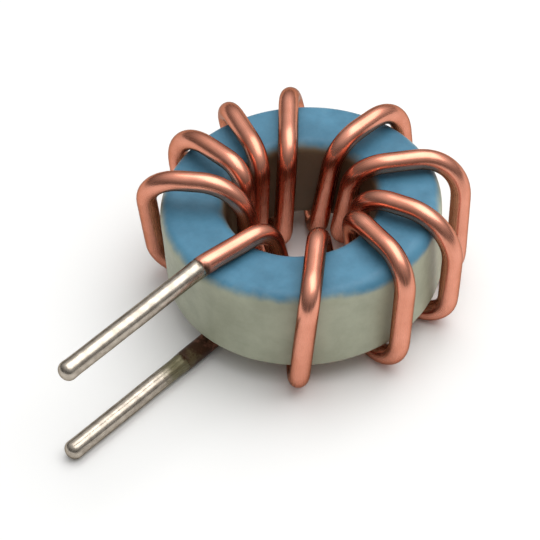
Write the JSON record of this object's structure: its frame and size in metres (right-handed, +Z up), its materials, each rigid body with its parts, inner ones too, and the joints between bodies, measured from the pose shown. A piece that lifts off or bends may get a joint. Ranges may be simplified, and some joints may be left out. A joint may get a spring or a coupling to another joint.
{
  "type": "toroidal inductor",
  "caption": "Painted ring core wound with thick enamelled copper wire, its tinned ends leaving one side as straight leads, one above the other.",
  "frame": {"origin": "on the ring's axis, in the plane the part rests on (the underside of the wire's bottom passes)", "axes": "+Z up along the ring's axis, -Y along both leads towards their tips, +X to the right seen from behind the tips looking at the ring"},
  "size_m": [0.0205, 0.0302, 0.0103],
  "materials": {
    "core_coat": "pressed powder ring under a satin two-colour coat: blue over the top face and its edges, grey-green on the wall and underside",
    "enamelled_copper": "drawn copper under clear reddish enamel, burnt brown where the ends were stripped",
    "tinned_copper": "copper wire dipped in solder, bright with soft streaks"
  },
  "bodies": {
    "root": {"core": "core_coat", "winding": "enamelled_copper", "upper_lead": "tinned_copper", "lower_lead": "tinned_copper"}
  },
  "joints": []
}
